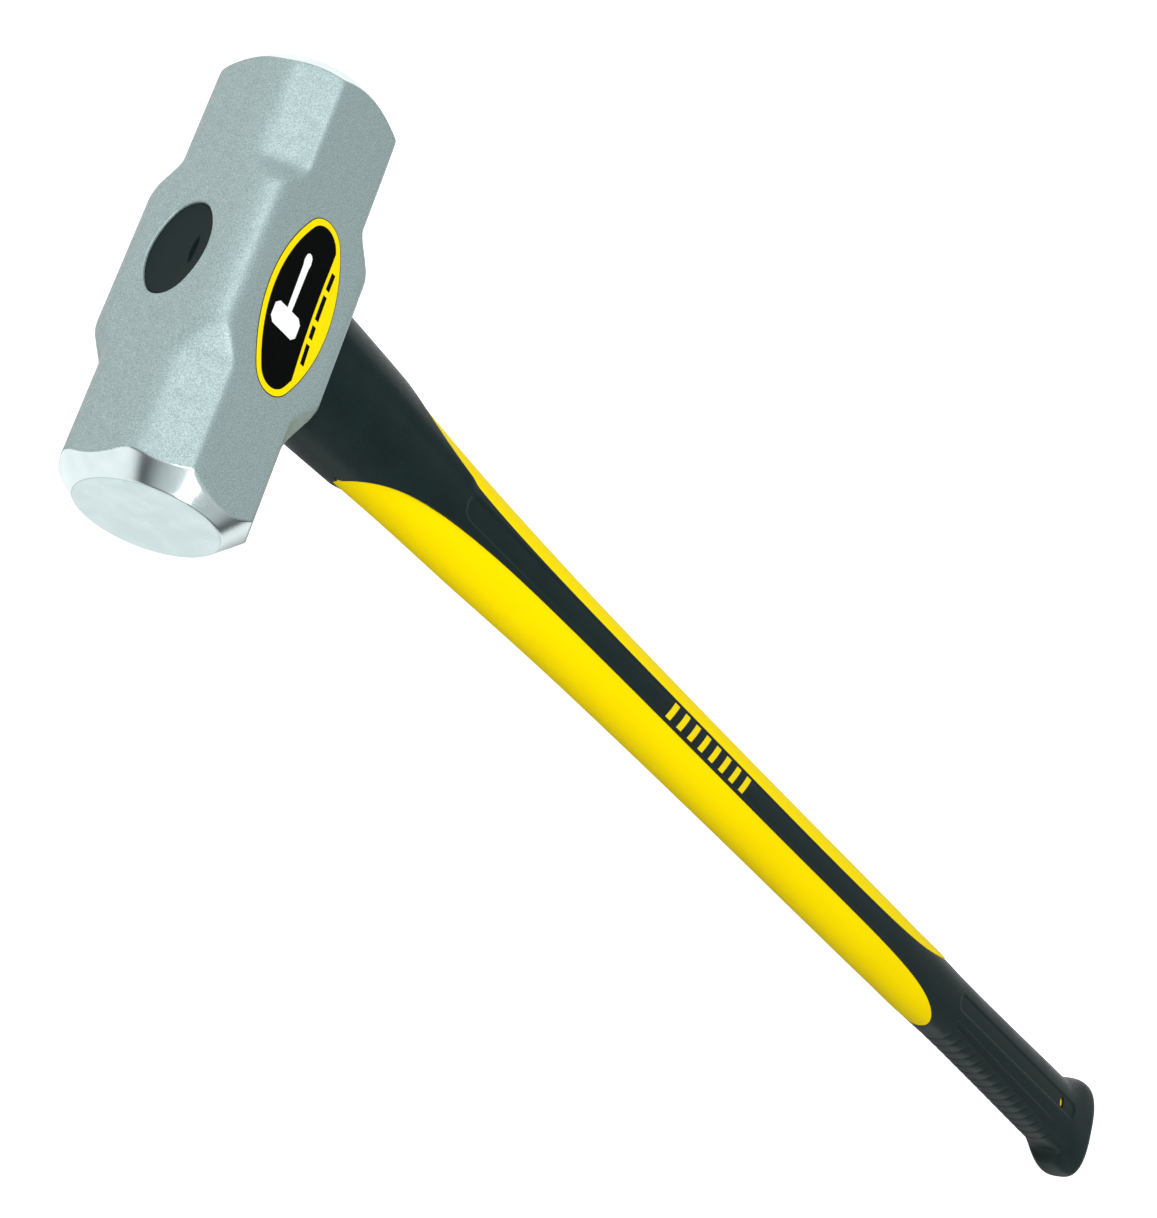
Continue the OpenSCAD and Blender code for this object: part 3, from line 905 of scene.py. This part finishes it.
def make_hole_cutter(side):
    """Drill for a locating hole, flared at its mouth."""
    x, y = HOLE_AT
    surface = 15.6
    rises = ((4, 0.9), (0.25, 0.5), (-0.1, 0.2), (-0.5, 0.0), (-4, 0.0))
    levels = [(surface + rise, grow) for rise, grow in rises]
    count = 48
    verts = []
    for z, grow in levels:
        for k in range(count):
            angle = 2 * math.pi * k / count
            r = HOLE_R + grow
            verts.append([x + r * math.cos(angle), y + r * math.sin(angle), side * z])
    faces = grid_faces(len(levels), count)
    faces += [tuple(range(count)), tuple(range((len(levels) - 1) * count, len(levels) * count))]
    return outward(make_object("hole_cutter", verts, faces))


def make_jacket():
    neck, window, grip = handle_stations()
    below_knob = grip[grip < KNOB_START]
    stations = list(neck) + [window[0]] + list(window) + [window[-1]] + list(below_knob[::6]) + [KNOB_START]
    raised_from, raised_to = len(neck) + 1, len(neck) + len(window)
    rings = [
        ring_points(x, "sunk", sunk, window_drop if raised_from <= i <= raised_to else sunk)
        for i, x in enumerate(stations)
    ]
    rings.append(rings[-1] * [0, 1, 1] + [JACKET_END, 0, 0])
    count = len(rings[0])
    # The core's bore, from the neck's end to the bottom of its hole
    bore = oval_points(CORE_HALF_L, CORE_HALF_W, CORE_TIP_R, count)
    order = np.argsort(np.arctan2(bore[:, 1], bore[:, 0]) % (2 * math.pi))
    bore = bore[order]
    for x in (CORE_END, HEAD_HIGH.x):
        rings.append(np.array([[x, p[1], p[0]] for p in bore]))
    verts = np.concatenate(rings)
    rows = len(rings)
    faces = grid_faces(rows - 2, count)
    end = (rows - 3) * count
    faces.append(tuple(range(end, end + count)))
    hole_top, mouth = (rows - 2) * count, (rows - 1) * count
    for j in range(count):
        k = (j + 1) % count
        faces.append((hole_top + j, hole_top + k, mouth + k, mouth + j))
    faces.append(tuple(range(hole_top, hole_top + count)))
    faces += [(j, (j + 1) % count, mouth + (j + 1) % count, mouth + j) for j in range(count)]
    return outward(make_object("yellow_jacket", verts, faces))


# ---- Label and mark ---------------------------------------------------------------------------------


def flat_shape(name, outline, low, high, material, soft=0.03):
    """A thin plate on the label: outline is a list of (x, y), low and high its levels."""
    count = len(outline)
    pts = np.array(outline, float)
    centre = pts.mean(0)
    inner = centre + (pts - centre) * (1 - soft / max(1e-6, np.abs(pts - centre).max()))
    verts = [[p[0], p[1], low] for p in pts] + [[p[0], p[1], high - soft] for p in pts]
    verts += [[p[0], p[1], high] for p in inner]
    faces = grid_faces(3, count) + [tuple(range(count)), tuple(range(2 * count, 3 * count))]
    made = outward(make_object(name, verts, faces))
    return coat(made, material)


def make_label():
    """Oval label: yellow film ringed by a black plate of painted shade at its edge, a black field beside a
    yellow band, a white hammer sign on the field and black bars along the band."""
    half_l = (LABEL_HIGH.y - LABEL_LOW.y) / 2
    half_w = (LABEL_HIGH.x - LABEL_LOW.x) / 2
    cx, cy = (LABEL_LOW.x + LABEL_HIGH.x) / 2, (LABEL_LOW.y + LABEL_HIGH.y) / 2
    base, top = LABEL_LOW.z - CHEEK_Z, LABEL_HIGH.z - CHEEK_Z
    layer = (top - base) / 5
    rim, edge = 2.7, 0.35

    def oval_line(grow, count=320):
        pts = oval_points(half_l + grow, half_w + grow, LABEL_TIP_R + grow, count)
        return [(cx + p[0], cy + p[1]) for p in pts]

    def band_x(y):
        """Where the black field ends and the yellow band starts."""
        head_x, foot_x, head_y, foot_y, bow = 8.9, 10.4, 25.7, -29.8, 1.0
        t = (y - foot_y) / (head_y - foot_y)
        return foot_x + (head_x - foot_x) * t - bow * 4 * t * (1 - t)

    # A black plate under the film, whose thin rim round it is painted shade along the label's edge
    shade_ring_plate = flat_shape("label_shade_ring", oval_line(0), base, base + layer, PRINT_BLACK)
    finish_piece(shade_ring_plate, "label")
    film = flat_shape("label_film", oval_line(-edge), base, base + 2 * layer, PRINT_YELLOW)
    finish_piece(film, "label", "head_label")

    field = [p for p in oval_line(-rim) if p[0] <= band_x(p[1])]
    start = max(range(len(field)), key=lambda i: math.dist(field[i], field[i - 1]))
    field = field[start:] + field[:start]
    from_y, to_y = field[-1][1], field[0][1]
    chord = [from_y + (to_y - from_y) * k / 12 for k in range(1, 12)]
    field += [(band_x(y), y) for y in chord]
    finish_piece(flat_shape("label_field", field, base + 1.9 * layer, base + 3 * layer, PRINT_BLACK), "label")

    sign_x, sign_y = -2.6, -12.0
    upper_side = [(7.2, 2.6), (5.4, 4.4), (-5.4, 4.4), (-7.2, 2.6)]
    blunt = upper_side + [(u, -v) for u, v in upper_side[::-1]]
    grip = [(1.2, 3.0), (1.5, 22.0), (1.9, 24.0), (1.5, 26.5), (0.6, 27.4)]
    grip = grip + [(-u, v) for u, v in grip[::-1]]
    for name, outline in (("sign_head", blunt), ("sign_handle", grip)):
        placed = [(sign_x + u, sign_y + v) for u, v in outline]
        height = 4.4 if name == "sign_head" else 4.2
        plate = flat_shape(name, placed, base + 2.9 * layer, base + height * layer, PRINT_WHITE)
        finish_piece(plate, "label")

    bar_from, bar_to, bar_gap = 1.5, 3.5, 2.4
    y = -20.5
    for k, length in enumerate((8.0, 5.0, 10.0, 7.0)):
        rows = [y + length * j / 4 for j in range(5)]
        outline = [(band_x(v) + bar_from, v) for v in rows] + [(band_x(v) + bar_to, v) for v in rows[::-1]]
        bar = flat_shape(f"band_bar_{k}", outline, base + 1.9 * layer, base + 2.8 * layer, PRINT_BLACK)
        finish_piece(bar, "label")
        y += length + bar_gap


def floor_point(x, y, lift):
    """Point on the strip panel's floor on the upper cheek side, raised by lift."""
    a = float(front_depth(x))
    b = float(thickness(x))
    z = b * (1 - (abs(y) / a) ** SECTION_POWER) ** (1 / SECTION_POWER)
    return [x, y, z - float(strip_panel_depth(x, y)) + lift]


def make_mark():
    """Slanted yellow bars printed on the strip."""
    verts, faces = [], []
    steps = 8
    for i in range(MARK_BARS):
        x0 = MARK_START + i * MARK_PITCH
        base = len(verts)
        for k in range(steps + 1):
            t = 2 * k / steps - 1
            x, y = x0 + MARK_SKEW * (t + 1) / 2, t * MARK_HALF_L
            verts.append(floor_point(x, y, -0.05))
            verts.append(floor_point(x + MARK_BAR_W, y, -0.05))
            verts.append(floor_point(x + MARK_BAR_W, y, 0.06))
            verts.append(floor_point(x, y, 0.06))
        faces += grid_faces(steps + 1, 4, base)
        faces.append(tuple(range(base, base + 4)))
        faces.append(tuple(range(base + 4 * steps, base + 4 * steps + 4)))
    mark = outward(make_object("strip_bars", verts, faces))
    coat(mark, PRINT_YELLOW)
    return finish_piece(mark, "label", "strip_mark")


# ---- The pieces ------------------------------------------------------------------------------------

head = coat(make_head(), STEEL)
finish_piece(head, "forged_steel", "head", smooth_angle=50)

cap = coat(make_eye_cap(), CAP_RUBBER)
finish_piece(cap, "black_rubber", "eye_cap", smooth_angle=35)

overmould = coat(make_overmould(), RUBBER)
finish_piece(overmould, "black_rubber", "overmould", smooth_angle=55)

jacket = coat(make_jacket(), YELLOW)
finish_piece(jacket, "yellow_plastic", "handle_jacket", smooth_angle=50)

make_label()
make_mark()

for name, material in (("core_rod", FIBRE), ("eye_resin", RESIN)):
    coat(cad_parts[name], material)


# ---- Floor, light and camera -------------------------------------------------------------------------


def make_floor():
    mesh = bpy.data.meshes.new("floor")
    half = 30.0
    corners = [(-half, -half, 0), (half, -half, 0), (half, half, 0), (-half, half, 0)]
    mesh.from_pydata(corners, [], [(0, 1, 2, 3)])
    floor = bpy.data.objects.new("floor", mesh)
    bpy.context.scene.collection.objects.link(floor)
    floor.location.z = -0.0006
    # White to look at. The floor also glows as a painted light: what lies on it sees a softer painted glow,
    # with a painted shadow beneath the handle and a dimmer painted reflection far from the lower face
    n = Nodes(bpy.data.materials.new("floor"))
    rays = n.add("ShaderNodeLightPath").outputs
    axes = n.add("ShaderNodeSeparateXYZ")
    n.link(n.place, axes.inputs[0])
    near = n.ramp(axes.outputs["Y"], -1.3, -0.2, 0.05, 0.66)
    before, behind = n.ramp(axes.outputs["Y"], -0.12, -0.05), n.ramp(axes.outputs["Y"], 0.01, 0.04, 1.0, 0.0)
    beneath = n.math("MULTIPLY", before, behind)
    # Painted shadow in the floor's glow beneath the handle
    shade = n.math("MULTIPLY", n.ramp(axes.outputs["X"], 0.055, 0.09, 0.0, 0.92), beneath)
    mirrored = n.math("MULTIPLY", rays["Is Glossy Ray"], near)
    glossy = n.math("MULTIPLY", mirrored, n.math("SUBTRACT", 1.0, shade))
    glow = n.math("ADD", glossy, n.math("SUBTRACT", 0.22, n.math("MULTIPLY", shade, 0.12)))
    seen = n.math("MULTIPLY", rays["Is Camera Ray"], 1.0)
    n.shader.inputs["Specular IOR Level"].default_value = 0.0
    n.shader.inputs["Emission Color"].default_value = (1, 1, 1, 1)
    weave = n.ramp(n.noise(400, 2), 0.3, 0.7, 0.85, 0.95)
    shine = n.math("ADD", glow, seen)
    mesh.materials.append(
        n.surface(Base_Color=(0.25, 0.25, 0.25, 1), Roughness=weave, Emission_Strength=shine)
    )


def area_light(name, towards, distance, size, energy, target=(0.30, 0.0, 0.03), spread=180):
    light = bpy.data.lights.new(name, "AREA")
    light.energy = energy
    light.size = size
    light.spread = math.radians(spread)
    made = bpy.data.objects.new(name, light)
    bpy.context.scene.collection.objects.link(made)
    direction = Vector(towards).normalized()
    made.location = Vector(target) + direction * distance
    made.rotation_euler = direction.to_track_quat("Z", "Y").to_euler()
    return made


def make_world():
    """Studio round the table. Seen directly it is plain and pale; what the hammer mirrors is bright
    overhead and low down behind it, dark at the horizon before it, and dimmer where the cheek looks."""
    world = bpy.data.worlds.new("studio")
    bpy.context.scene.world = world
    n = Nodes(world, "Background", "Generated")
    axes = n.add("ShaderNodeSeparateXYZ")
    n.link(n.place, axes.inputs[0])
    overhead = n.ramp(axes.outputs["Z"], 0.03, 0.36, 0.02, 0.66)
    low_down = n.ramp(axes.outputs["Z"], 0.05, 0.4, 0.72, 0.0)
    backdrop = n.math("MULTIPLY", n.ramp(axes.outputs["Y"], -0.2, 0.4), low_down)
    beyond = n.add("ShaderNodeVectorMath", operation="DOT_PRODUCT")
    n.link(n.place, beyond.inputs[0])
    beyond.inputs[1].default_value = (0.73, 0.40, 0.55)
    dimmed = n.math("MULTIPLY", overhead, n.ramp(beyond.outputs["Value"], 0.45, 0.9, 1.0, 0.48))
    seen = n.math("MULTIPLY", n.add("ShaderNodeLightPath").outputs["Is Camera Ray"], 1.1)
    strength = n.math("MAXIMUM", n.math("MAXIMUM", dimmed, backdrop), seen)
    return n.surface(Color=(0.93, 0.98, 1.0, 1), Strength=strength)


def make_camera():
    camera = bpy.data.cameras.new("camera")
    made = bpy.data.objects.new("camera", camera)
    bpy.context.scene.collection.objects.link(made)
    right = Vector((0.47971, 0.27102, 0.83452))
    up = Vector((-0.48659, 0.87362, -0.00401))
    back = right.cross(up)
    turn = Matrix((right, up, back)).transposed().to_4x4()
    made.matrix_world = Matrix.Translation((-0.52218, -0.41138, 0.57882 + CHEEK_Z * MM)) @ turn
    camera.lens = 73.18
    camera.sensor_width = 36
    camera.clip_start = 0.01
    bpy.context.scene.camera = made


make_floor()
make_world()
area_light("key", (-0.66, 0.42, 0.62), 2.4, 1.9, 20.5)
area_light("broad", (-0.40, -0.50, 0.76), 2.6, 1.4, 36)
area_light("streak", (0.14, -0.885, 0.44), 2.2, 0.36, 0.09, target=(0.0, -0.085, 0.03), spread=24)
make_camera()
